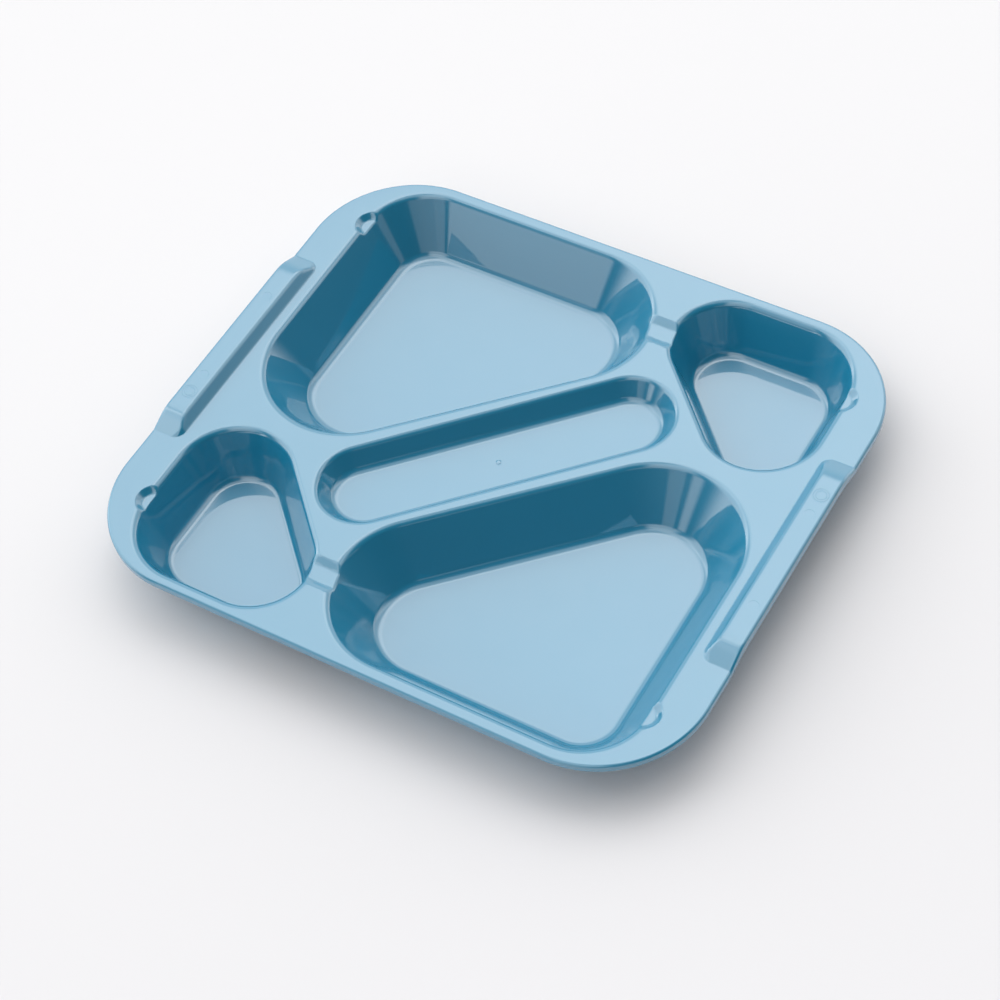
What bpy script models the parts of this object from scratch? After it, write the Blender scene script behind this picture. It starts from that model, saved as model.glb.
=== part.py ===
"""Compartment meal tray: one moulded plastic shell with four deep wells, a
diagonal cutlery trough, two raised hand grips, four thumb scoops and two
shallow channels across the land.

The food side and the underside are two surfaces over the same plan.  Each
well is a loft between a rounded polygon at the rim and a smaller one at the
floor, along a section with a rounded edge, a straight wall and a floor
fillet.  The flat land between the wells is triangulated around them, and a
rolled lip with a short skirt closes the two surfaces at the outer edge.
"""
import math

import bmesh
import bpy
import numpy as np
from mathutils import Vector, geometry

MM = 0.001

# ---- driving dimensions, millimetres -------------------------------------
LENGTH = 371.8            # along X, over the hand grips
WIDTH = 329.2             # along Y
CORNER_R = 64.0           # plan radius of the tray's corners
SHEET = 2.6               # wall thickness
WELL_DEPTH = 32.1         # rim plane down to the floor of the four wells
TROUGH_DEPTH = 12.7       # rim plane down to the floor of the trough
LIP_R = 1.8               # rolled top edge of the lip
SKIRT = 5.0               # rim plane down to the bottom of the skirt
SKIRT_T = 2.4             # thickness of the skirt
GRIP_H = 6.2              # rise of the hand grips over the rim plane
GRIP_X = 167.0            # inner foot line of a grip
GRIP_Y = 75.0             # half length of a grip's foot
GRIP_WALL = 5.5           # run of a grip's inner wall
GRIP_RAMP = 14.0          # nominal run of a grip's end slope
GRIP_CORNER = 7.0         # plan radius of the inner corners of the foot
SKIRT_RISE = 0.68         # share of the grip's rise that the skirt follows
RELIEF_Y = 117.4          # line of the scoops and channels, each side of the centre
SCOOP_D, CHANNEL_D = 3.4, 2.7   # their depths
SCOOP_X = 156.5           # centre of the scoops
SCOOP_TOP, SCOOP_FLOOR = 10.0, 6.6
CHANNEL_TOP, CHANNEL_FLOOR = 10.0, 5.0

# each well: sharp corners and radii at the rim, then at the floor; edge is the
# radius of the rounded top edge, fillet that of the rounded foot
DIAG_A = (0.960, 48.5)    # long slanted side of the large wells at the rim: slope, offset
DIAG_A_FLOOR = (0.958, 82.7)


def slanted_corners(left, top, diag):
    """Three corners between a vertical side, a level side and a slanted side."""
    m, c = diag
    return [((top - c) / m, top), (left, top), (left, m * left + c)]


LARGE = dict(rim=slanted_corners(-160.2, 156.8, DIAG_A), rim_r=(50.9, 39.0, 52.7),
             floor=slanted_corners(-135.0, 133.4, DIAG_A_FLOOR), floor_r=(28.5, 19.5, 28.8),
             depth=WELL_DEPTH, inset=25.2, fillet=7.0, edge=4.8)
SMALL = dict(rim=[(159.8, 157.3), (1.9, 157.3), (159.8, -0.6)], rim_r=(40.0, 33.2, 35.0),
             floor=[(143.1, 140.4), (38.1, 140.4), (143.1, 35.4)], floor_r=(21.5, 19.0, 19.6),
             depth=WELL_DEPTH, inset=17.0, fillet=5.6, edge=5.0)
TROUGH_END = 77.4         # centre of the trough's round end, along its axis
TROUGH_R, TROUGH_FLOOR_R = 27.1, 15.8


def stadium_corners(end, r):
    """Corners of a rectangle round a stadium that lies at 45 degrees."""
    k = math.sqrt(0.5)
    rect = [(end + r, r), (-end - r, r), (-end - r, -r), (end + r, -r)]
    return [((x - y) * k, (x + y) * k) for x, y in rect]


TROUGH = dict(rim=stadium_corners(TROUGH_END, TROUGH_R), rim_r=(TROUGH_R,) * 4,
              floor=stadium_corners(TROUGH_END, TROUGH_FLOOR_R), floor_r=(TROUGH_FLOOR_R,) * 4,
              depth=TROUGH_DEPTH, inset=11.3, fillet=6.0, edge=4.0)

# ---- fineness of the facets ----------------------------------------------
ARC_STEP = 10.0           # degrees between points on a plan arc
RUN_STEP = 70.0           # millimetres between points on a straight side
HOT_STEP = 3.3            # spacing near a scoop or a channel
EDGE_N, FILLET_N, LIP_N = 3, 3, 2

HOT = [(sx * x, sx * sy * RELIEF_Y) for sx in (1, -1) for sy in (1, -1) for x in (SCOOP_X + 4,)]
HOT += [(38.0, RELIEF_Y), (46.0, RELIEF_Y), (-38.0, -RELIEF_Y), (-46.0, -RELIEF_Y)]


# ---- plan curves -----------------------------------------------------------
def blend(t, r):
    """Ramp function: 0 before the break, slope 1 after it, rounded over +-r."""
    return np.where(t <= -r, 0.0, np.where(t >= r, t, (t + r) ** 2 / (4.0 * r)))


def segments(corners, radii):
    """The arcs and straight runs of a rounded polygon, anticlockwise."""
    n = len(corners)
    pts = [np.array(c, float) for c in corners]
    arcs = []
    for i in range(n):
        a, b, c = pts[i - 1], pts[i], pts[(i + 1) % n]
        u = (a - b) / np.linalg.norm(a - b)
        w = (c - b) / np.linalg.norm(c - b)
        half = 0.5 * math.acos(float(np.dot(u, w)))
        r = radii[i]
        centre = b + (u + w) / np.linalg.norm(u + w) * r / math.sin(half)
        start = b + u * r / math.tan(half)
        sweep = math.pi - 2.0 * half
        a0 = math.atan2(*(start - centre)[::-1])
        arcs.append(("arc", centre, r, a0, sweep))
    out = []
    for i in range(n):
        out.append(arcs[i])
        k, c0, r0, a0, s0 = arcs[i]
        k, c1, r1, a1, s1 = arcs[(i + 1) % n]
        p = c0 + r0 * np.array([math.cos(a0 + s0), math.sin(a0 + s0)])
        q = c1 + r1 * np.array([math.cos(a1), math.sin(a1)])
        out.append(("run", p, q))
    return out


def at(seg, t):
    t = np.asarray(t, float)[:, None]
    if seg[0] == "arc":
        _, c, r, a0, sweep = seg
        return c + r * np.hstack([np.cos(a0 + sweep * t), np.sin(a0 + sweep * t)])
    return seg[1] + (seg[2] - seg[1]) * t


def fractions(seg):
    """Parameter steps along a segment, closer together near the reliefs."""
    t = np.linspace(0, 1, 401)
    p = at(seg, t)
    length = np.linalg.norm(np.diff(p, axis=0), axis=1).sum()
    if length < 1e-6:
        return None
    coarse = seg[2] * math.radians(ARC_STEP) if seg[0] == "arc" else RUN_STEP
    near = np.min([np.hypot(p[:, 0] - x, p[:, 1] - y) for x, y in HOT], axis=0)
    h = np.minimum(coarse, HOT_STEP + 0.6 * np.maximum(0.0, near - 13.0))
    mid = 0.5 * (1 / h[1:] + 1 / h[:-1]) * length / 400
    total = np.concatenate([[0], np.cumsum(mid)])
    n = max(1, int(math.ceil(total[-1] - 1e-6)))
    return np.interp(np.arange(n) / n * total[-1], total, t)


def loft_pair(well):
    """Matching points of a well's rim outline and floor outline."""
    rim, floor = [], []
    for a, b in zip(segments(well["rim"], well["rim_r"]), segments(well["floor"], well["floor_r"])):
        t = fractions(a)
        if t is None:
            continue
        rim.append(at(a, t))
        floor.append(at(b, t))
    return np.vstack(rim), np.vstack(floor)


def outer_loop(inset):
    """The tray's outline, moved inwards; grip stations are on its short sides."""
    x, y = LENGTH / 2 - inset, WIDTH / 2 - inset
    r = CORNER_R - inset
    segs = segments([(x, y), (-x, y), (-x, -y), (x, -y)], (r,) * 4)
    out = []
    for seg in segs:
        if seg[0] == "run" and abs(seg[1][0] - seg[2][0]) < 1e-6:
            ends = sorted([seg[1][1], seg[2][1]])
            s = [v for v in grip_stations() if ends[0] + 3 < v < ends[1] - 3]
            ys = np.array([ends[0]] + s + [ends[1]])
            if seg[2][1] < seg[1][1]:
                ys = ys[::-1]
            out.append(np.column_stack([np.full(len(ys) - 1, seg[1][0]), ys[:-1]]))
        else:
            n = max(1, int(round(90.0 / ARC_STEP))) if seg[0] == "arc" else 6
            out.append(at(seg, np.arange(n) / n))
    return np.vstack(out)


def grip_stations():
    """Y stations where the grip's end slopes are drawn."""
    s = [GRIP_Y + 0.5, GRIP_Y - 4.0, GRIP_Y - 8.0, GRIP_Y - 12.0, GRIP_Y - 16.0,
         GRIP_Y - 20.0, 27.0]
    return sorted([-v for v in s] + [0.0] + s)


# ---- heights ---------------------------------------------------------------
def grip_rise(x, y, back=0.0):
    """Rise of the hand grips; back draws the foot in, for the underside."""
    px = np.abs(x) - GRIP_X - back
    py = GRIP_Y - 0.45 * back - np.abs(y)
    r = GRIP_CORNER
    corner = r - np.hypot(r - px, r - py)
    d = np.where((px < r) & (py < r), corner, np.minimum(px, py))
    mw = GRIP_H / GRIP_WALL
    mr = GRIP_H / GRIP_RAMP
    wall = mw * (blend(d, 0.5) - blend(d - GRIP_WALL, 1.4))
    ramp = mr * (blend(py, 0.4) - blend(py - GRIP_RAMP, 6.0))
    k = 1.2 * np.clip(np.minimum(wall, ramp) / 1.0, 0.0, 1.0) + 1e-9
    h = np.clip(k - np.abs(wall - ramp), 0, None) / k
    return np.maximum(0.0, np.minimum(wall, ramp) - h * h * k / 4)


def relief(x, y, grow=0.0):
    """Depth of the scoops and channels at a point of the plan."""
    sx, sy = np.sign(x), np.sign(y)
    rho = np.hypot(np.abs(x) - SCOOP_X, np.abs(y) - RELIEF_Y)
    ms = SCOOP_D / (SCOOP_TOP - SCOOP_FLOOR)
    scoop = SCOOP_D - ms * (blend(rho - SCOOP_FLOOR - grow, 0.7) - blend(rho - SCOOP_TOP - grow, 0.5))
    t = np.abs(np.abs(y) - RELIEF_Y)
    mc = CHANNEL_D / (CHANNEL_TOP - CHANNEL_FLOOR)
    band = CHANNEL_D - mc * (blend(t - CHANNEL_FLOOR - grow, 0.7) - blend(t - CHANNEL_TOP - grow, 0.4))
    across = (sx == sy) & (np.abs(x) > 18.0) & (np.abs(x) < 66.0)
    return np.maximum(0.0, np.maximum(scoop, np.where(across, band, 0.0)))


def merge(depth, cut, base=0.0):
    """The deeper of a well's depth and a relief, with a soft edge between."""
    k = 1.3 * np.clip(np.minimum(depth - base, cut) / 0.9, 0.0, 1.0) + 1e-9
    cut = cut + base
    h = np.clip(k - np.abs(depth - cut), 0, None) / k
    return np.maximum(depth, cut) + h * h * k / 4


def top_z(x, y):
    return grip_rise(x, y) - relief(x, y)


def under_z(x, y):
    return -SHEET + grip_rise(x, y, 1.1) - relief(x, y, 1.2)


# ---- sections --------------------------------------------------------------
def wall_angle(well):
    """Slope that reaches the floor outline with the floor fillet included."""
    lo, hi = math.radians(20), math.radians(88)
    for _ in range(60):
        a = 0.5 * (lo + hi)
        if well["depth"] / math.tan(a) + well["fillet"] * math.tan(a / 2) > well["inset"]:
            lo = a
        else:
            hi = a
    return 0.5 * (lo + hi)


def arc_section(cx, cz, r, a0, a1, n):
    return [(cx + r * math.cos(a), cz + r * math.sin(a)) for a in np.linspace(a0, a1, n + 1)]


def food_section(well):
    a = wall_angle(well)
    e, f, d = well["edge"], well["fillet"], well["depth"]
    te, tf, s = e * math.tan(a / 2), f * math.tan(a / 2), d / math.tan(a)
    out = arc_section(-te, -e, e, math.pi / 2, math.pi / 2 - a, EDGE_N)
    out += arc_section(s + tf, -d + f, f, 1.5 * math.pi - a, 1.5 * math.pi, FILLET_N)
    return out


def under_section(well):
    a = wall_angle(well)
    e, f, d = max(0.8, well["edge"] - SHEET), well["fillet"] + SHEET, well["depth"]
    back = -SHEET * math.tan(a / 2)
    te = e * math.tan(a / 2)
    out = arc_section(back - te, -SHEET - e, e, math.pi / 2, math.pi / 2 - a, 2)
    s, tf = d / math.tan(a), well["fillet"] * math.tan(a / 2)
    out += arc_section(s + tf, -d + well["fillet"], f, 1.5 * math.pi - a, 1.5 * math.pi, FILLET_N)
    return out


# ---- mesh assembly ---------------------------------------------------------
class Shell:
    def __init__(self):
        self.verts, self.faces = [], []

    def ring(self, pts, z):
        first = len(self.verts)
        self.verts += [(p[0], p[1], zz) for p, zz in zip(pts, z)]
        return list(range(first, first + len(pts)))

    def strip(self, a, b, flip=False):
        n = len(a)
        for i in range(n):
            j = (i + 1) % n
            q = [a[i], a[j], b[j], b[i]]
            self.faces.append(q[::-1] if flip else q)

    def cap(self, loop, flip=False):
        self.faces.append(loop[::-1] if flip else list(loop))


def inside(poly, p):
    x, y = p[:, 0], p[:, 1]
    a, b = poly, np.roll(poly, -1, axis=0)
    hit = np.zeros(len(p), int)
    for (x0, y0), (x1, y1) in zip(a, b):
        if y0 == y1:
            continue
        cross = ((y0 > y) != (y1 > y)) & (x < (x1 - x0) * (y - y0) / (y1 - y0) + x0)
        hit += cross
    return hit % 2 == 1


def gap(poly, p):
    """Distance from points to a closed outline."""
    best = np.full(len(p), 1e9)
    for a, b in zip(poly, np.roll(poly, -1, axis=0)):
        ab = b - a
        t = np.clip(((p - a) @ ab) / max(1e-12, float(ab @ ab)), 0, 1)
        best = np.minimum(best, np.linalg.norm(p - a - t[:, None] * ab, axis=1))
    return best


def land_lines():
    """Lines on the land that draw the grips, the scoops and the channels."""
    lines = []
    xs = [GRIP_X - 0.5, GRIP_X + 1.8, GRIP_X + GRIP_WALL - 1.4, GRIP_X + GRIP_WALL + 1.4, 178.5]
    ys = grip_stations()
    for sx in (1, -1):
        for x in xs:
            lines.append([(sx * x, y) for y in ys])
        for y in (ys[0], ys[1], ys[-2], ys[-1]):
            lines.append([(sx * x, y) for x in xs])
    for dy in (-CHANNEL_TOP, -CHANNEL_FLOOR, CHANNEL_FLOOR, CHANNEL_TOP):
        for s in (1, -1):
            lines.append([(s * x, s * (RELIEF_Y + dy)) for x in np.arange(34.0, 56.0, 2.5)])
    for r in (SCOOP_FLOOR - 0.3, SCOOP_TOP):
        for sx in (1, -1):
            for sy in (1, -1):
                arc = [math.radians(a) for a in np.arange(-90, 91, 18.0)]
                lines.append([(sx * (SCOOP_X + r * math.cos(a)), sy * (RELIEF_Y + r * math.sin(a))) for a in arc])
    return lines


def add_land(shell, outer_ids, hole_ids, height, flip):
    """Triangulate the land between the outer loop and the wells."""
    def plan(ids):
        return np.array([shell.verts[i][:2] for i in ids])
    outer = plan(outer_ids)
    holes = [plan(h) for h in hole_ids]
    ids = list(outer_ids) + [i for h in hole_ids for i in h]
    index = {v: k for k, v in enumerate(ids)}
    edges = []
    for loop in [outer_ids] + list(hole_ids):
        edges += [(index[loop[i]], index[loop[(i + 1) % len(loop)]]) for i in range(len(loop))]
    placed = {}
    for line in land_lines():
        p = np.array(line)
        keep = inside(outer, p) & (gap(outer, p) > 0.9)
        for h in holes:
            keep &= ~inside(h, p) & (gap(h, p) > 0.9)
        last = None
        for (x, y), k in zip(p, keep):
            if not k:
                last = None
                continue
            key = (round(x, 3), round(y, 3))
            if key not in placed:
                z = float(height(np.array([x]), np.array([y]))[0])
                shell.verts.append((x, y, z))
                placed[key] = len(ids)
                ids.append(len(shell.verts) - 1)
            if last is not None:
                edges.append((last, placed[key]))
            last = placed[key]
    co = [Vector(shell.verts[i][:2]) for i in ids]
    out, _, tris, origin, _, _ = geometry.delaunay_2d_cdt(co, edges, [], 0, 1e-5)
    back = []
    for v, o in zip(out, origin):
        if not o:
            z = float(height(np.array([v[0]]), np.array([v[1]]))[0])
            shell.verts.append((v[0], v[1], z))
        back.append(ids[o[0]] if o else len(shell.verts) - 1)
    cen = np.array([[sum(shell.verts[back[k]][c] for k in t) / 3 for c in (0, 1)] for t in tris])
    keep = inside(outer, cen)
    for h in holes:
        keep &= ~inside(h, cen)
    for t, k in zip(tris, keep):
        if k:
            f = [back[i] for i in t]
            a, b, c = (shell.verts[i] for i in f)
            up = (b[0] - a[0]) * (c[1] - a[1]) - (b[1] - a[1]) * (c[0] - a[0]) > 0
            shell.faces.append(f if up != flip else f[::-1])


def build_tray():
    sh = Shell()
    wells = []
    for w, turn in ((LARGE, 1), (LARGE, -1), (SMALL, 1), (SMALL, -1), (TROUGH, 1)):
        rim, floor = loft_pair(w)
        wells.append((w, rim * turn, floor * turn))

    for side in ("food", "under"):
        food = side == "food"
        hole_ids = []
        for w, rim, floor in wells:
            rings = []
            for s, z in (food_section(w) if food else under_section(w)):
                p = rim + (floor - rim) * (s / w["inset"])
                depth = np.full(len(p), -z)
                if food:
                    depth = merge(depth, relief(p[:, 0], p[:, 1]))
                else:
                    depth = merge(depth, relief(p[:, 0], p[:, 1], 1.2), SHEET)
                rings.append(sh.ring(p, -depth))
            for a, b in zip(rings, rings[1:]):
                sh.strip(a, b, flip=not food)
            sh.cap(rings[-1], flip=not food)
            hole_ids.append(rings[0])
        if food:
            lip = []
            for a in np.linspace(math.pi / 2, 0, LIP_N + 1):
                inset = LIP_R * (1 - math.cos(a))
                p = outer_loop(inset)
                z = LIP_R * (math.sin(a) - 1) + grip_rise(p[:, 0], p[:, 1])
                lip.append(sh.ring(p, z))
            for a, b in zip(lip, lip[1:]):
                sh.strip(a, b, flip=True)
            add_land(sh, lip[0], hole_ids, top_z, False)
            lip_edge = lip[-1]
        else:
            skirt = []
            for inset, z in ((0.0, -SKIRT + 0.5), (0.5, -SKIRT), (SKIRT_T - 0.5, -SKIRT), (SKIRT_T, -SKIRT + 0.5)):
                p = outer_loop(inset)
                skirt.append(sh.ring(p, z + SKIRT_RISE * grip_rise(p[:, 0], p[:, 1])))
            p = outer_loop(SKIRT_T + 0.2)
            skirt.append(sh.ring(p, under_z(p[:, 0], p[:, 1])))
            sh.strip(lip_edge, skirt[0], flip=True)
            for a, b in zip(skirt, skirt[1:]):
                sh.strip(a, b, flip=True)
            add_land(sh, skirt[-1], hole_ids, under_z, True)

    base = WELL_DEPTH + SHEET
    me = bpy.data.meshes.new("tray")
    me.from_pydata([(x * MM, y * MM, (z + base) * MM) for x, y, z in sh.verts], [], sh.faces)
    bm = bmesh.new()
    bm.from_mesh(me)
    bmesh.ops.delete(bm, geom=[v for v in bm.verts if not v.link_faces], context="VERTS")
    bmesh.ops.recalc_face_normals(bm, faces=bm.faces)
    if bm.calc_volume(signed=True) < 0:
        bmesh.ops.reverse_faces(bm, faces=bm.faces)
    bm.to_mesh(me)
    bm.free()
    me.shade_smooth()
    me.set_sharp_from_angle(angle=math.radians(32))
    ob = bpy.data.objects.new("tray", me)
    bpy.context.scene.collection.objects.link(ob)
    return ob


def plastic():
    mat = bpy.data.materials.new("blue_plastic")
    mat.use_nodes = True
    bsdf = mat.node_tree.nodes["Principled BSDF"]
    bsdf.inputs["Base Color"].default_value = (0.165, 0.435, 0.600, 1.0)
    bsdf.inputs["Roughness"].default_value = 0.18
    bsdf.inputs["Metallic"].default_value = 0.0
    return mat


def main():
    for ob in list(bpy.data.objects):
        bpy.data.objects.remove(ob, do_unlink=True)
    tray = build_tray()
    tray.data.materials.append(plastic())


main()
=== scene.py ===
"""Visual model of the compartment meal tray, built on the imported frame.

One glossy moulded shell, drawn finely from the same plan curves and sections
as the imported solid, with the small marks that moulding leaves on it: ejector
circles and a round insert ring on the grips, and a gate dot in the trough.
"""
import math

import bpy
import numpy as np
from mathutils import Matrix, Vector, geometry


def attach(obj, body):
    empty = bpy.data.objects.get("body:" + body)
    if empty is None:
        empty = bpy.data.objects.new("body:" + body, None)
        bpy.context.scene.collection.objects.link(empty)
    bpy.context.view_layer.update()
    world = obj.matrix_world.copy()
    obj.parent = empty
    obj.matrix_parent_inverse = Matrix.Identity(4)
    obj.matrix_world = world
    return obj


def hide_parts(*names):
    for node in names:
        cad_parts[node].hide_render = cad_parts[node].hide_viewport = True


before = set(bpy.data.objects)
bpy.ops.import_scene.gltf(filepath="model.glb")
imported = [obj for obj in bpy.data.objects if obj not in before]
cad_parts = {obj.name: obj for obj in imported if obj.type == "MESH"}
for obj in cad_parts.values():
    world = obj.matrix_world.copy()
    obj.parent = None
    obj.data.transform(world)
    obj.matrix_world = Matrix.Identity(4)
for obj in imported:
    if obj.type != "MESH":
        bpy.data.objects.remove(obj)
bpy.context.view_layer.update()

MM = 0.001

# ---- dimensions, millimetres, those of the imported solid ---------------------
LENGTH, WIDTH, CORNER_R = 371.8, 329.2, 64.0
SHEET, WELL_DEPTH, TROUGH_DEPTH = 2.6, 32.1, 12.7
LIP_R, SKIRT, SKIRT_T = 1.8, 5.0, 2.4
GRIP_H, GRIP_X, GRIP_Y = 6.2, 167.0, 75.0
GRIP_WALL, GRIP_RAMP, GRIP_CORNER = 5.5, 14.0, 7.0
SKIRT_RISE = 0.68
RELIEF_Y, SCOOP_D, CHANNEL_D = 117.4, 3.4, 2.7
SCOOP_X, SCOOP_TOP, SCOOP_FLOOR = 156.5, 10.0, 6.6
CHANNEL_TOP, CHANNEL_FLOOR = 10.0, 5.0
BASE = WELL_DEPTH + SHEET      # rim plane above the table

DIAG_A = (0.960, 48.5)
DIAG_A_FLOOR = (0.958, 82.7)


def slanted_corners(left, top, diag):
    m, c = diag
    return [((top - c) / m, top), (left, top), (left, m * left + c)]


LARGE = dict(rim=slanted_corners(-160.2, 156.8, DIAG_A), rim_r=(50.9, 39.0, 52.7),
             floor=slanted_corners(-135.0, 133.4, DIAG_A_FLOOR), floor_r=(28.5, 19.5, 28.8),
             depth=WELL_DEPTH, inset=25.2, fillet=7.0, edge=4.8)
SMALL = dict(rim=[(159.8, 157.3), (1.9, 157.3), (159.8, -0.6)], rim_r=(40.0, 33.2, 35.0),
             floor=[(143.1, 140.4), (38.1, 140.4), (143.1, 35.4)], floor_r=(21.5, 19.0, 19.6),
             depth=WELL_DEPTH, inset=17.0, fillet=5.6, edge=5.0)
TROUGH_END, TROUGH_R, TROUGH_FLOOR_R = 77.4, 27.1, 15.8


def stadium_corners(end, r):
    k = math.sqrt(0.5)
    rect = [(end + r, r), (-end - r, r), (-end - r, -r), (end + r, -r)]
    return [((x - y) * k, (x + y) * k) for x, y in rect]


TROUGH = dict(rim=stadium_corners(TROUGH_END, TROUGH_R), rim_r=(TROUGH_R,) * 4,
              floor=stadium_corners(TROUGH_END, TROUGH_FLOOR_R), floor_r=(TROUGH_FLOOR_R,) * 4,
              depth=TROUGH_DEPTH, inset=11.3, fillet=6.0, edge=4.0)

HOT = [(sx * x, sx * sy * RELIEF_Y) for sx in (1, -1) for sy in (1, -1) for x in (SCOOP_X + 4,)]
HOT += [(38.0, RELIEF_Y), (46.0, RELIEF_Y), (-38.0, -RELIEF_Y), (-46.0, -RELIEF_Y)]

# ---- moulding marks: x, y, radius, millimetres --------------------------------
INSERT_RINGS = [(178.9, 45.8, 4.5, 3.1), (-178.9, -45.8, 4.5, 3.1)]
EJECTORS = [(178.7, 31.5, 3.3), (178.7, -35.8, 3.3), (-178.7, -31.5, 3.3), (-178.7, 35.8, 3.3)]
GATE = (0.0, 0.0, 1.5)


class Fine:
    """Fineness of one side of the shell."""

    def __init__(self, arc, run, hot, grow, edge_n, fillet_n, lip_n, detail):
        self.arc, self.run, self.hot, self.grow = arc, run, hot, grow
        self.edge_n, self.fillet_n, self.lip_n, self.detail = edge_n, fillet_n, lip_n, detail


FOOD = Fine(2.5, 9.0, 0.8, 0.12, 12, 12, 7, True)
UNDER = Fine(5.0, 25.0, 1.6, 0.3, 5, 8, 4, False)


# ---- plan curves ---------------------------------------------------------------
def blend(t, r):
    return np.where(t <= -r, 0.0, np.where(t >= r, t, (t + r) ** 2 / (4.0 * r)))


def segments(corners, radii):
    n = len(corners)
    pts = [np.array(c, float) for c in corners]
    arcs = []
    for i in range(n):
        a, b, c = pts[i - 1], pts[i], pts[(i + 1) % n]
        u = (a - b) / np.linalg.norm(a - b)
        w = (c - b) / np.linalg.norm(c - b)
        half = 0.5 * math.acos(float(np.dot(u, w)))
        r = radii[i]
        centre = b + (u + w) / np.linalg.norm(u + w) * r / math.sin(half)
        start = b + u * r / math.tan(half)
        a0 = math.atan2(*(start - centre)[::-1])
        arcs.append(("arc", centre, r, a0, math.pi - 2.0 * half))
    out = []
    for i in range(n):
        out.append(arcs[i])
        _, c0, r0, a0, s0 = arcs[i]
        _, c1, r1, a1, s1 = arcs[(i + 1) % n]
        p = c0 + r0 * np.array([math.cos(a0 + s0), math.sin(a0 + s0)])
        q = c1 + r1 * np.array([math.cos(a1), math.sin(a1)])
        out.append(("run", p, q))
    return out


def at(seg, t):
    t = np.asarray(t, float)[:, None]
    if seg[0] == "arc":
        _, c, r, a0, sweep = seg
        return c + r * np.hstack([np.cos(a0 + sweep * t), np.sin(a0 + sweep * t)])
    return seg[1] + (seg[2] - seg[1]) * t


def fractions(seg, fine):
    t = np.linspace(0, 1, 801)
    p = at(seg, t)
    length = np.linalg.norm(np.diff(p, axis=0), axis=1).sum()
    if length < 1e-6:
        return None
    coarse = seg[2] * math.radians(fine.arc) if seg[0] == "arc" else fine.run
    near = np.min([np.hypot(p[:, 0] - x, p[:, 1] - y) for x, y in HOT], axis=0)
    h = np.minimum(coarse, fine.hot + fine.grow * np.maximum(0.0, near - 12.5))
    mid = 0.5 * (1 / h[1:] + 1 / h[:-1]) * length / 800
    total = np.concatenate([[0], np.cumsum(mid)])
    n = max(1, int(math.ceil(total[-1] - 1e-6)))
    return np.interp(np.arange(n) / n * total[-1], total, t)


def loft_pair(well, fine):
    rim, floor = [], []
    for a, b in zip(segments(well["rim"], well["rim_r"]), segments(well["floor"], well["floor_r"])):
        t = fractions(a, fine)
        if t is None:
            continue
        rim.append(at(a, t))
        floor.append(at(b, t))
    return np.vstack(rim), np.vstack(floor)


def grip_stations(fine):
    if fine.detail:
        s = [75.7, 75.35, 75.0, 74.65, 74.2] + list(np.arange(73.2, 53.5, -1.1)) + [50.0, 40.0, 30.0, 20.0, 10.0]
    else:
        s = [75.5, 74.0, 71.0, 67.0, 63.0, 59.0, 55.0, 30.0]
    return sorted([-v for v in s] + [0.0] + s)


def outer_loop(inset, fine):
    x, y = LENGTH / 2 - inset, WIDTH / 2 - inset
    r = CORNER_R - inset
    out = []
    for seg in segments([(x, y), (-x, y), (-x, -y), (x, -y)], (r,) * 4):
        if seg[0] == "run" and abs(seg[1][0] - seg[2][0]) < 1e-6:
            ends = sorted([seg[1][1], seg[2][1]])
            s = [v for v in grip_stations(fine) if ends[0] + 3 < v < ends[1] - 3]
            ys = np.array([ends[0]] + s + [ends[1]])
            if seg[2][1] < seg[1][1]:
                ys = ys[::-1]
            out.append(np.column_stack([np.full(len(ys) - 1, seg[1][0]), ys[:-1]]))
        else:
            n = max(1, int(round(90.0 / fine.arc))) if seg[0] == "arc" else int(round(252.0 / fine.run))
            out.append(at(seg, np.arange(n) / n))
    return np.vstack(out)


# ---- heights ---------------------------------------------------------------------
def grip_rise(x, y, back=0.0):
    px = np.abs(x) - GRIP_X - back
    py = GRIP_Y - 0.45 * back - np.abs(y)
    r = GRIP_CORNER
    corner = r - np.hypot(r - px, r - py)
    d = np.where((px < r) & (py < r), corner, np.minimum(px, py))
    mw = GRIP_H / GRIP_WALL
    mr = GRIP_H / GRIP_RAMP
    wall = mw * (blend(d, 0.5) - blend(d - GRIP_WALL, 1.4))
    ramp = mr * (blend(py, 0.4) - blend(py - GRIP_RAMP, 6.0))
    k = 1.2 * np.clip(np.minimum(wall, ramp) / 1.0, 0.0, 1.0) + 1e-9
    h = np.clip(k - np.abs(wall - ramp), 0, None) / k
    return np.maximum(0.0, np.minimum(wall, ramp) - h * h * k / 4)


def relief(x, y, grow=0.0):
    sx, sy = np.sign(x), np.sign(y)
    rho = np.hypot(np.abs(x) - SCOOP_X, np.abs(y) - RELIEF_Y)
    ms = SCOOP_D / (SCOOP_TOP - SCOOP_FLOOR)
    scoop = SCOOP_D - ms * (blend(rho - SCOOP_FLOOR - grow, 0.7) - blend(rho - SCOOP_TOP - grow, 0.5))
    t = np.abs(np.abs(y) - RELIEF_Y)
    mc = CHANNEL_D / (CHANNEL_TOP - CHANNEL_FLOOR)
    band = CHANNEL_D - mc * (blend(t - CHANNEL_FLOOR - grow, 0.7) - blend(t - CHANNEL_TOP - grow, 0.4))
    across = (sx == sy) & (np.abs(x) > 18.0) & (np.abs(x) < 66.0)
    return np.maximum(0.0, np.maximum(scoop, np.where(across, band, 0.0)))


def merge(depth, cut, base=0.0):
    k = 1.3 * np.clip(np.minimum(depth - base, cut) / 0.9, 0.0, 1.0) + 1e-9
    cut = cut + base
    h = np.clip(k - np.abs(depth - cut), 0, None) / k
    return np.maximum(depth, cut) + h * h * k / 4


def groove(rho, r, half=0.32):
    """Rounded valley of unit depth at radius r."""
    t = np.clip(np.abs(rho - r) / half, 0, 1)
    return 0.5 * (1 + np.cos(math.pi * t))


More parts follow.
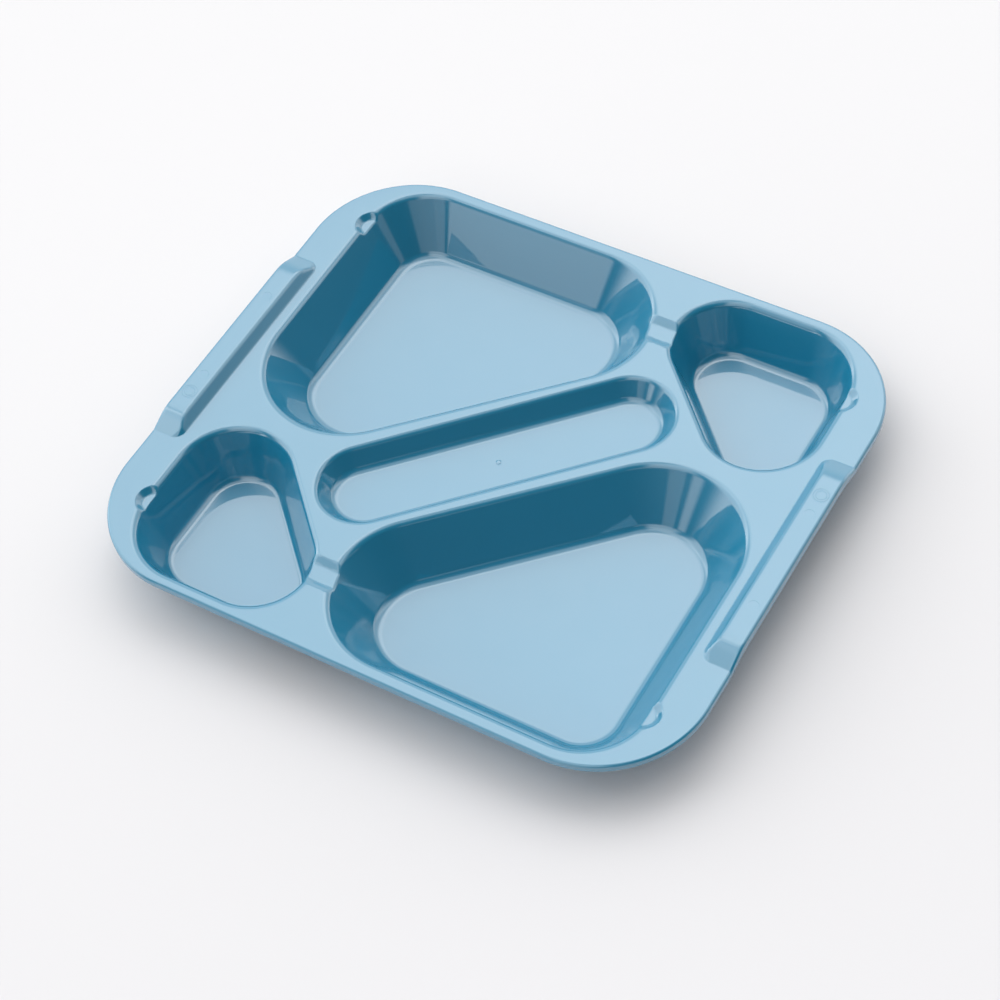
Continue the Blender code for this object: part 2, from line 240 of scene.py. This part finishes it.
def grip_marks(x, y):
    """Shallow marks left in the grips by the mould."""
    z = np.zeros_like(x)
    for cx, cy, r1, r2 in INSERT_RINGS:
        rho = np.hypot(x - cx, y - cy)
        z = z - 0.11 * groove(rho, r1) - 0.10 * groove(rho, r2)
    for cx, cy, r in EJECTORS:
        rho = np.hypot(x - cx, y - cy)
        tilt = np.clip(0.5 + 0.5 * (y - cy) / r, 0, 1)
        inside_pin = np.clip((r - rho) / 0.30, 0, 1)
        z = z - 0.10 * tilt * inside_pin * inside_pin * (3 - 2 * inside_pin)
    return z


def top_z(x, y):
    return grip_rise(x, y) - relief(x, y) + grip_marks(x, y)


def under_z(x, y):
    return -SHEET + grip_rise(x, y, 1.1) - relief(x, y, 1.2)


def gate_z(x, y):
    """Floor of the trough, with the small trimmed nub of the gate."""
    rho = np.hypot(x - GATE[0], y - GATE[1])
    nub = np.clip((GATE[2] - rho) / 0.35, 0, 1)
    ring = groove(rho, GATE[2] + 0.35, 0.5)
    return -TROUGH_DEPTH + 0.16 * nub * nub * (3 - 2 * nub) - 0.08 * ring


# ---- sections -----------------------------------------------------------------------
def wall_angle(well):
    lo, hi = math.radians(20), math.radians(88)
    for _ in range(60):
        a = 0.5 * (lo + hi)
        if well["depth"] / math.tan(a) + well["fillet"] * math.tan(a / 2) > well["inset"]:
            lo = a
        else:
            hi = a
    return 0.5 * (lo + hi)


def arc_section(cx, cz, r, a0, a1, n):
    return [(cx + r * math.cos(a), cz + r * math.sin(a)) for a in np.linspace(a0, a1, n + 1)]


def food_section(well, fine):
    a = wall_angle(well)
    e, f, d = well["edge"], well["fillet"], well["depth"]
    te, tf, s = e * math.tan(a / 2), f * math.tan(a / 2), d / math.tan(a)
    top = arc_section(-te, -e, e, math.pi / 2, math.pi / 2 - a, fine.edge_n)
    low = arc_section(s + tf, -d + f, f, 1.5 * math.pi - a, 1.5 * math.pi, fine.fillet_n)
    (s0, z0), (s1, z1) = top[-1], low[0]
    drops = [0.35 * k for k in range(1, 12)] + [6.0, 9.0, 13.0, 18.0, 23.0]
    wall = []
    for drop in drops:
        t = drop / (z0 - z1)
        if t < 0.93:
            wall.append((s0 + (s1 - s0) * t, z0 + (z1 - z0) * t))
    return top + wall + low


def under_section(well, fine):
    a = wall_angle(well)
    e, f, d = max(0.8, well["edge"] - SHEET), well["fillet"] + SHEET, well["depth"]
    back = -SHEET * math.tan(a / 2)
    te = e * math.tan(a / 2)
    top = arc_section(back - te, -SHEET - e, e, math.pi / 2, math.pi / 2 - a, fine.edge_n)
    s, tf = d / math.tan(a), well["fillet"] * math.tan(a / 2)
    low = arc_section(s + tf, -d + well["fillet"], f, 1.5 * math.pi - a, 1.5 * math.pi, fine.fillet_n)
    (s0, z0), (s1, z1) = top[-1], low[0]
    wall = []
    for drop in (0.8, 1.6, 2.6, 4.0, 8.0, 14.0):
        t = drop / (z0 - z1)
        if t < 0.9:
            wall.append((s0 + (s1 - s0) * t, z0 + (z1 - z0) * t))
    return top + wall + low


# ---- mesh assembly ---------------------------------------------------------------------
class Shell:
    def __init__(self):
        self.verts, self.faces = [], []

    def ring(self, pts, z):
        first = len(self.verts)
        self.verts += [(float(p[0]), float(p[1]), float(zz)) for p, zz in zip(pts, z)]
        return list(range(first, first + len(pts)))

    def strip(self, a, b, flip=False):
        n = len(a)
        for i in range(n):
            j = (i + 1) % n
            q = [a[i], a[j], b[j], b[i]]
            self.faces.append(q[::-1] if flip else q)

    def cap(self, loop, flip=False):
        self.faces.append(loop[::-1] if flip else list(loop))


def inside(poly, p):
    x, y = p[:, 0], p[:, 1]
    hit = np.zeros(len(p), int)
    for (x0, y0), (x1, y1) in zip(poly, np.roll(poly, -1, axis=0)):
        if y0 == y1:
            continue
        hit += ((y0 > y) != (y1 > y)) & (x < (x1 - x0) * (y - y0) / (y1 - y0) + x0)
    return hit % 2 == 1


def gap(poly, p):
    best = np.full(len(p), 1e9)
    for a, b in zip(poly, np.roll(poly, -1, axis=0)):
        ab = b - a
        t = np.clip(((p - a) @ ab) / max(1e-12, float(ab @ ab)), 0, 1)
        best = np.minimum(best, np.linalg.norm(p - a - t[:, None] * ab, axis=1))
    return best


def circle_line(cx, cy, r, n):
    return [(cx + r * math.cos(a), cy + r * math.sin(a)) for a in np.linspace(0, 2 * math.pi, n + 1)]


def land_lines(fine):
    """Lines on the land that draw the grips, scoops, channels and marks."""
    lines = []
    ys = grip_stations(fine)
    if fine.detail:
        xs = [166.5, 166.75, 167.0, 167.25, 167.5] + list(np.arange(168.2, 171.0, 0.7))
        xs += list(np.arange(171.1, 174.1, 0.35)) + [176.0, 178.5, 181.0, 182.6]
        ends = [v for v in ys if abs(v) > 53.0]
        dys = [-10.5, -10.2, -10.0, -9.8, -9.4, -8.6, -7.6, -6.6, -5.8, -5.5, -5.2, -4.9, -4.6, -4.2, -3.0, -1.5, 0.0]
        rs, fan = list(np.arange(5.6, 10.7, 0.34)), 5.0
        step = 2.0
    else:
        xs = [166.5, 168.5, 171.5, 174.0, 178.5]
        ends = [ys[0], ys[1], ys[-2], ys[-1]]
        dys = [-10.0, -7.5, -5.0, 0.0]
        rs, fan = [6.9, 8.5, 10.0], 12.0
        step = 3.0
    for sx in (1, -1):
        for x in xs:
            lines.append([(sx * x, y) for y in ys])
        for y in ends:
            lines.append([(sx * x, y) for x in xs])
    if fine.detail:
        for sx in (1, -1):
            for sy in (1, -1):
                for r in (7.5, 7.25, 7.0, 6.75, 6.4, 5.6, 4.4, 3.0):
                    arc = np.radians(np.arange(90.0, 180.1, 7.5))
                    lines.append([(sx * (GRIP_X + GRIP_CORNER + r * math.cos(a)),
                                   sy * (GRIP_Y - GRIP_CORNER + r * math.sin(a))) for a in arc])
        for cx, cy, r1, r2 in INSERT_RINGS:
            for r in (r1, r2):
                for dr in (-0.32, -0.16, 0.0, 0.16, 0.32):
                    lines.append(circle_line(cx, cy, r + dr, 64))
        for cx, cy, r in EJECTORS:
            for dr in (-0.30, -0.2, -0.1, 0.0):
                lines.append(circle_line(cx, cy, r + dr, 48))
    for dy in sorted(set(dys + [-v for v in dys])):
        for s in (1, -1):
            lines.append([(s * x, s * (RELIEF_Y + dy)) for x in np.arange(32.0, 58.0, step)])
    for r in rs:
        for sx in (1, -1):
            for sy in (1, -1):
                arc = np.radians(np.arange(-90, 91, fan))
                lines.append([(sx * (SCOOP_X + r * math.cos(a)), sy * (RELIEF_Y + r * math.sin(a))) for a in arc])
    return lines


def fill(shell, outer_ids, hole_ids, lines, height, flip, clear=0.35):
    """Triangulate the region between loops, with extra lines drawn into it."""
    def plan(ids):
        # single precision, as the triangulation sees the points
        return np.array([shell.verts[i][:2] for i in ids], np.float32).astype(float)
    outer = plan(outer_ids)
    holes = [plan(h) for h in hole_ids]
    ids = list(outer_ids) + [i for h in hole_ids for i in h]
    index = {v: k for k, v in enumerate(ids)}
    edges = []
    for loop in [outer_ids] + list(hole_ids):
        edges += [(index[loop[i]], index[loop[(i + 1) % len(loop)]]) for i in range(len(loop))]
    if lines:
        allp = np.vstack([np.array(l) for l in lines])
        keep = inside(outer, allp) & (gap(outer, allp) > clear)
        for h in holes:
            keep &= ~inside(h, allp) & (gap(h, allp) > clear)
        zs = height(allp[:, 0], allp[:, 1])
        placed, k = {}, 0
        for line in lines:
            last = None
            for x, y in line:
                if not keep[k]:
                    last = None
                    k += 1
                    continue
                key = (round(x, 3), round(y, 3))
                if key not in placed:
                    shell.verts.append((float(x), float(y), float(zs[k])))
                    placed[key] = len(ids)
                    ids.append(len(shell.verts) - 1)
                if last is not None and last != placed[key]:
                    edges.append((last, placed[key]))
                last = placed[key]
                k += 1
    co = [Vector(shell.verts[i][:2]) for i in ids]
    out, _, tris, origin, _, _ = geometry.delaunay_2d_cdt(co, edges, [], 0, 1e-5)
    back = []
    for v, o in zip(out, origin):
        if not o:
            z = float(height(np.array([v[0]]), np.array([v[1]]))[0])
            shell.verts.append((v[0], v[1], z))
        back.append(ids[o[0]] if o else len(shell.verts) - 1)
    P = np.array([shell.verts[i] for i in back])
    T = np.array([list(t) for t in tris])
    cen = P[T][:, :, :2].astype(np.float32).astype(float).mean(axis=1)
    keep = inside(outer, cen)
    for h in holes:
        keep &= ~inside(h, cen)
    a, b, c = P[T[:, 0]], P[T[:, 1]], P[T[:, 2]]
    area = (b[:, 0] - a[:, 0]) * (c[:, 1] - a[:, 1]) - (b[:, 1] - a[:, 1]) * (c[:, 0] - a[:, 0])
    for t, k, s in zip(tris, keep, area):
        if k:
            f = [back[i] for i in t]
            shell.faces.append(f if (s > 0) != flip else f[::-1])


def build_shell():
    sh = Shell()
    for food, fine in ((True, FOOD), (False, UNDER)):
        wells = []
        for w, turn in ((LARGE, 1), (LARGE, -1), (SMALL, 1), (SMALL, -1), (TROUGH, 1)):
            rim, floor = loft_pair(w, fine)
            wells.append((w, rim * turn, floor * turn))
        hole_ids = []
        for w, rim, floor in wells:
            rings = []
            for s, z in (food_section(w, fine) if food else under_section(w, fine)):
                p = rim + (floor - rim) * (s / w["inset"])
                depth = np.full(len(p), -z)
                if food:
                    depth = merge(depth, relief(p[:, 0], p[:, 1]))
                else:
                    depth = merge(depth, relief(p[:, 0], p[:, 1], 1.2), SHEET)
                rings.append(sh.ring(p, -depth))
            for a, b in zip(rings, rings[1:]):
                sh.strip(a, b, flip=not food)
            if w is TROUGH and food:
                marks = [circle_line(GATE[0], GATE[1], r, 40) for r in (0.6, 1.1, 1.22, 1.35, 1.5, 1.68, 1.85, 2.05, 2.3)]
                fill(sh, rings[-1], [], marks, gate_z, False)
            else:
                sh.cap(rings[-1], flip=not food)
            hole_ids.append(rings[0])
        if food:
            lip = []
            for a in np.linspace(math.pi / 2, 0, fine.lip_n + 1):
                p = outer_loop(LIP_R * (1 - math.cos(a)), fine)
                lip.append(sh.ring(p, LIP_R * (math.sin(a) - 1) + grip_rise(p[:, 0], p[:, 1])))
            for a, b in zip(lip, lip[1:]):
                sh.strip(a, b, flip=True)
            fill(sh, lip[0], hole_ids, land_lines(fine), top_z, False)
            lip_edge = lip[-1]
        else:
            skirt = []
            profile = [(0.0, -SKIRT + 0.7), (0.05, -SKIRT + 0.43), (0.2, -SKIRT + 0.2), (0.43, -SKIRT + 0.05),
                       (0.7, -SKIRT), (SKIRT_T - 0.5, -SKIRT), (SKIRT_T - 0.15, -SKIRT + 0.15),
                       (SKIRT_T, -SKIRT + 0.5)]
            for inset, z in profile:
                p = outer_loop(inset, FOOD)
                skirt.append(sh.ring(p, z + SKIRT_RISE * grip_rise(p[:, 0], p[:, 1])))
            p = outer_loop(SKIRT_T + 0.2, FOOD)
            skirt.append(sh.ring(p, under_z(p[:, 0], p[:, 1])))
            sh.strip(lip_edge, skirt[0], flip=True)
            for a, b in zip(skirt, skirt[1:]):
                sh.strip(a, b, flip=True)
            fill(sh, skirt[-1], hole_ids, land_lines(fine), under_z, True, 0.6)
    return sh


def shell_object(sh, name):
    used = sorted({i for f in sh.faces for i in f})
    new = {v: k for k, v in enumerate(used)}
    V = np.array([sh.verts[i] for i in used])
    faces = [[new[i] for i in f] for f in sh.faces]
    me = bpy.data.meshes.new(name)
    me.from_pydata([(x * MM, y * MM, (z + BASE) * MM) for x, y, z in V], [], faces)
    me.validate()
    # area-weighted vertex normals, so that the flats stay flat up to their edges
    N = np.zeros_like(V)
    for f in faces:
        p = V[f]
        n = np.zeros(3)
        for i in range(1, len(f) - 1):
            n += np.cross(p[i] - p[0], p[i + 1] - p[0])
        N[f] += n
    N /= np.maximum(1e-12, np.linalg.norm(N, axis=1))[:, None]
    me.shade_smooth()
    me.normals_split_custom_set_from_vertices([tuple(n) for n in N])
    ob = bpy.data.objects.new(name, me)
    bpy.context.scene.collection.objects.link(ob)
    return ob


# ---- material ---------------------------------------------------------------------------
def node(nt, kind, **values):
    n = nt.nodes.new(kind)
    for k, v in values.items():
        if k in n.inputs:
            n.inputs[k].default_value = v
        else:
            setattr(n, k, v)
    return n


def blue_plastic():
    mat = bpy.data.materials.new("blue_plastic_fine")
    mat.use_nodes = True
    nt = mat.node_tree
    bsdf = nt.nodes["Principled BSDF"]
    L = nt.links.new
    co = node(nt, "ShaderNodeTexCoord")

    cloud = node(nt, "ShaderNodeTexNoise", Scale=14.0, Detail=3.0, Roughness=0.5)
    L(co.outputs["Object"], cloud.inputs["Vector"])
    tint = node(nt, "ShaderNodeMix", data_type="RGBA")
    tint.inputs[6].default_value = (0.0064, 0.197, 0.336, 1)
    tint.inputs[7].default_value = (0.0078, 0.206, 0.351, 1)
    L(cloud.outputs["Fac"], tint.inputs[0])
    L(tint.outputs[2], bsdf.inputs["Base Color"])

    haze = node(nt, "ShaderNodeTexNoise", Scale=60.0, Detail=4.0, Roughness=0.6)
    L(co.outputs["Object"], haze.inputs["Vector"])
    rough = node(nt, "ShaderNodeMapRange")
    rough.inputs["From Min"].default_value = 0.3
    rough.inputs["From Max"].default_value = 0.7
    rough.inputs["To Min"].default_value = 0.32
    rough.inputs["To Max"].default_value = 0.38
    L(haze.outputs["Fac"], rough.inputs["Value"])
    L(rough.outputs["Result"], bsdf.inputs["Roughness"])

    wave = node(nt, "ShaderNodeTexNoise", Scale=38.0, Detail=2.0, Roughness=0.45)
    L(co.outputs["Object"], wave.inputs["Vector"])
    bump = node(nt, "ShaderNodeBump", Strength=0.04, Distance=0.0004)
    L(wave.outputs["Fac"], bump.inputs["Height"])
    L(bump.outputs["Normal"], bsdf.inputs["Normal"])
    L(bump.outputs["Normal"], bsdf.inputs["Coat Normal"])

    bsdf.inputs["Metallic"].default_value = 0.0
    bsdf.inputs["IOR"].default_value = 1.5
    bsdf.inputs["Coat Weight"].default_value = 1.0
    bsdf.inputs["Coat Roughness"].default_value = 0.03
    bsdf.inputs["Coat IOR"].default_value = 1.9
    return mat


# ---- build ----------------------------------------------------------------------------------
tray = shell_object(build_shell(), "tray_shell")
tray.data.materials.append(blue_plastic())
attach(tray, "root")
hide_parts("tray")


# ---- floor, lights, camera --------------------------------------------------------------------
def floor_plane():
    me = bpy.data.meshes.new("floor")
    s = 3.0
    me.from_pydata([(-s, -s, 0), (s, -s, 0), (s, s, 0), (-s, s, 0)], [], [(0, 1, 2, 3)])
    ob = bpy.data.objects.new("floor", me)
    mat = bpy.data.materials.new("pale_floor")
    mat.use_nodes = True
    b = mat.node_tree.nodes["Principled BSDF"]
    co = node(mat.node_tree, "ShaderNodeTexCoord")
    # painted light falloff: the floor's base colour turns darker towards +X -Y, the near right, standing in for light
    # falling off across the floor
    along = node(mat.node_tree, "ShaderNodeVectorMath", operation="DOT_PRODUCT")
    along.inputs[1].default_value = (0.6, -0.6, 0.0)
    fade = node(mat.node_tree, "ShaderNodeMapRange", interpolation_type="SMOOTHSTEP")
    fade.inputs["From Min"].default_value = -0.35
    fade.inputs["From Max"].default_value = 0.45
    painted_falloff = node(mat.node_tree, "ShaderNodeMix", data_type="RGBA")
    painted_falloff.inputs[6].default_value = (0.752, 0.748, 0.758, 1)
    painted_falloff.inputs[7].default_value = (0.708, 0.702, 0.716, 1)
    mat.node_tree.links.new(co.outputs["Object"], along.inputs[0])
    mat.node_tree.links.new(along.outputs["Value"], fade.inputs["Value"])
    mat.node_tree.links.new(fade.outputs["Result"], painted_falloff.inputs[0])
    mat.node_tree.links.new(painted_falloff.outputs[2], b.inputs["Base Color"])
    b.inputs["Roughness"].default_value = 0.9
    b.inputs["Specular IOR Level"].default_value = 0.1
    me.materials.append(mat)
    bpy.context.scene.collection.objects.link(ob)
    return ob


floor_plane()


def studio_world():
    """Soft light tent: a large box behind left, a white side on the left, and a
    dark side round the camera, as windows in azimuth and elevation (degrees)."""
    world = bpy.data.worlds.new("studio")
    bpy.context.scene.world = world
    world.use_nodes = True
    nt = world.node_tree
    L = nt.links.new
    bg = nt.nodes["Background"]
    co = node(nt, "ShaderNodeTexCoord")
    turn = node(nt, "ShaderNodeVectorRotate", rotation_type="Z_AXIS")
    turn.inputs["Angle"].default_value = -math.radians(155.0)
    L(co.outputs["Generated"], turn.inputs["Vector"])
    xyz = node(nt, "ShaderNodeSeparateXYZ")
    L(turn.outputs["Vector"], xyz.inputs[0])

    def math_node(op, a, b=None):
        m = node(nt, "ShaderNodeMath", operation=op)
        for k, v in ((0, a), (1, b)):
            if v is None:
                continue
            if isinstance(v, (int, float)):
                m.inputs[k].default_value = v
            else:
                L(v, m.inputs[k])
        return m.outputs[0]

    az = math_node("DEGREES", math_node("ARCTAN2", xyz.outputs["Y"], xyz.outputs["X"]))
    el = math_node("DEGREES", math_node("ARCSINE", xyz.outputs["Z"]))

    def step(value, a, b):
        m = node(nt, "ShaderNodeMapRange", interpolation_type="SMOOTHSTEP")
        m.inputs["From Min"].default_value = min(a, b)
        m.inputs["From Max"].default_value = max(a, b)
        m.inputs["To Min"].default_value = 0.0 if a < b else 1.0
        m.inputs["To Max"].default_value = 1.0 if a < b else 0.0
        L(value, m.inputs["Value"])
        return m.outputs["Result"]

    total = None
    for level, az_in, az_out, el_in, el_out in LIGHTS:
        parts = []
        for value, pair in ((az, az_in), (az, az_out), (el, el_in), (el, el_out)):
            if pair:
                parts.append(step(value, *pair))
        w = math_node("MULTIPLY", parts[0], level) if parts else None
        for q in parts[1:]:
            w = math_node("MULTIPLY", w, q)
        total = w if total is None else math_node("ADD", total, w)
    total = math_node("ADD", total, DARK_SIDE)
    seen = node(nt, "ShaderNodeLightPath")
    pick = node(nt, "ShaderNodeMix", data_type="FLOAT")
    L(seen.outputs["Is Camera Ray"], pick.inputs[0])
    L(total, pick.inputs[2])
    pick.inputs[3].default_value = 0.93
    L(pick.outputs[0], bg.inputs["Strength"])
    bg.inputs["Color"].default_value = (1.0, 1.0, 1.0, 1)


# level, azimuth fade-in, azimuth fade-out, elevation fade-in, elevation fade-out;
# azimuth 0 is 155 degrees from +X, towards the far left of the photographed view
LIGHTS = [
    (1.16, (-124, -100), (30, 10), None, (86, 70)),          # tent all round the back
    (1.31, (-86, -62), (8, -6), (36, 48), (80, 68)),         # large box behind
    (0.45, (-92, -72), (-14, -44), (34, 46), (74, 62)),      # its brighter half
    (1.20, (-140, -116), (-96, -114), (16, 28), (70, 58)),   # white side on the right
    (1.90, (2, 18), (80, 56), None, (68, 52)),               # white side on the left
    (0.60, (-112, -96), (-66, -80), None, (24, 13)),         # low card, far right
    (1.25, (82, 89), (100, 94), (-2, 2), (24, 17)),          # narrow card, near left
    (2.00, (80, 92), (137, 122), None, (10, 5)),             # low strip, near left
    (0.55, (102, 106), (124, 119), (10, 13), (36, 28)),      # dim card, near side
    (0.42, (118, 124), (168, 160), (16, 20), (36, 28)),      # dimmer card beside it
    (0.40, (-152, -147), (-131, -137), (11, 14), (26, 18)),  # dim card, right
    (1.20, (80, 96), (152, 136), (22, 32), (64, 54)),        # fill, near left
    (1.16, (0, 14), (150, 126), (48, 60), (82, 70)),         # upper left
    (0.95, None, None, (58, 78), None),                      # ceiling
]
DARK_SIDE = 0.05
studio_world()

cam = bpy.data.cameras.new("camera")
cam.lens, cam.sensor_width = 91.27, 36.0
cam.clip_start, cam.clip_end = 0.05, 30.0
cam_ob = bpy.data.objects.new("camera", cam)
cam_ob.matrix_world = Matrix(((0.86185, -0.35145, 0.36565, 0.5333),
                              (0.49949, 0.71315, -0.49186, -0.7212),
                              (-0.08790, 0.60655, 0.79017, 1.109 + BASE * MM),
                              (0, 0, 0, 1)))
bpy.context.scene.collection.objects.link(cam_ob)
scene = bpy.context.scene
scene.camera = cam_ob
scene.view_settings.view_transform = "Standard"
scene.view_settings.look = "None"
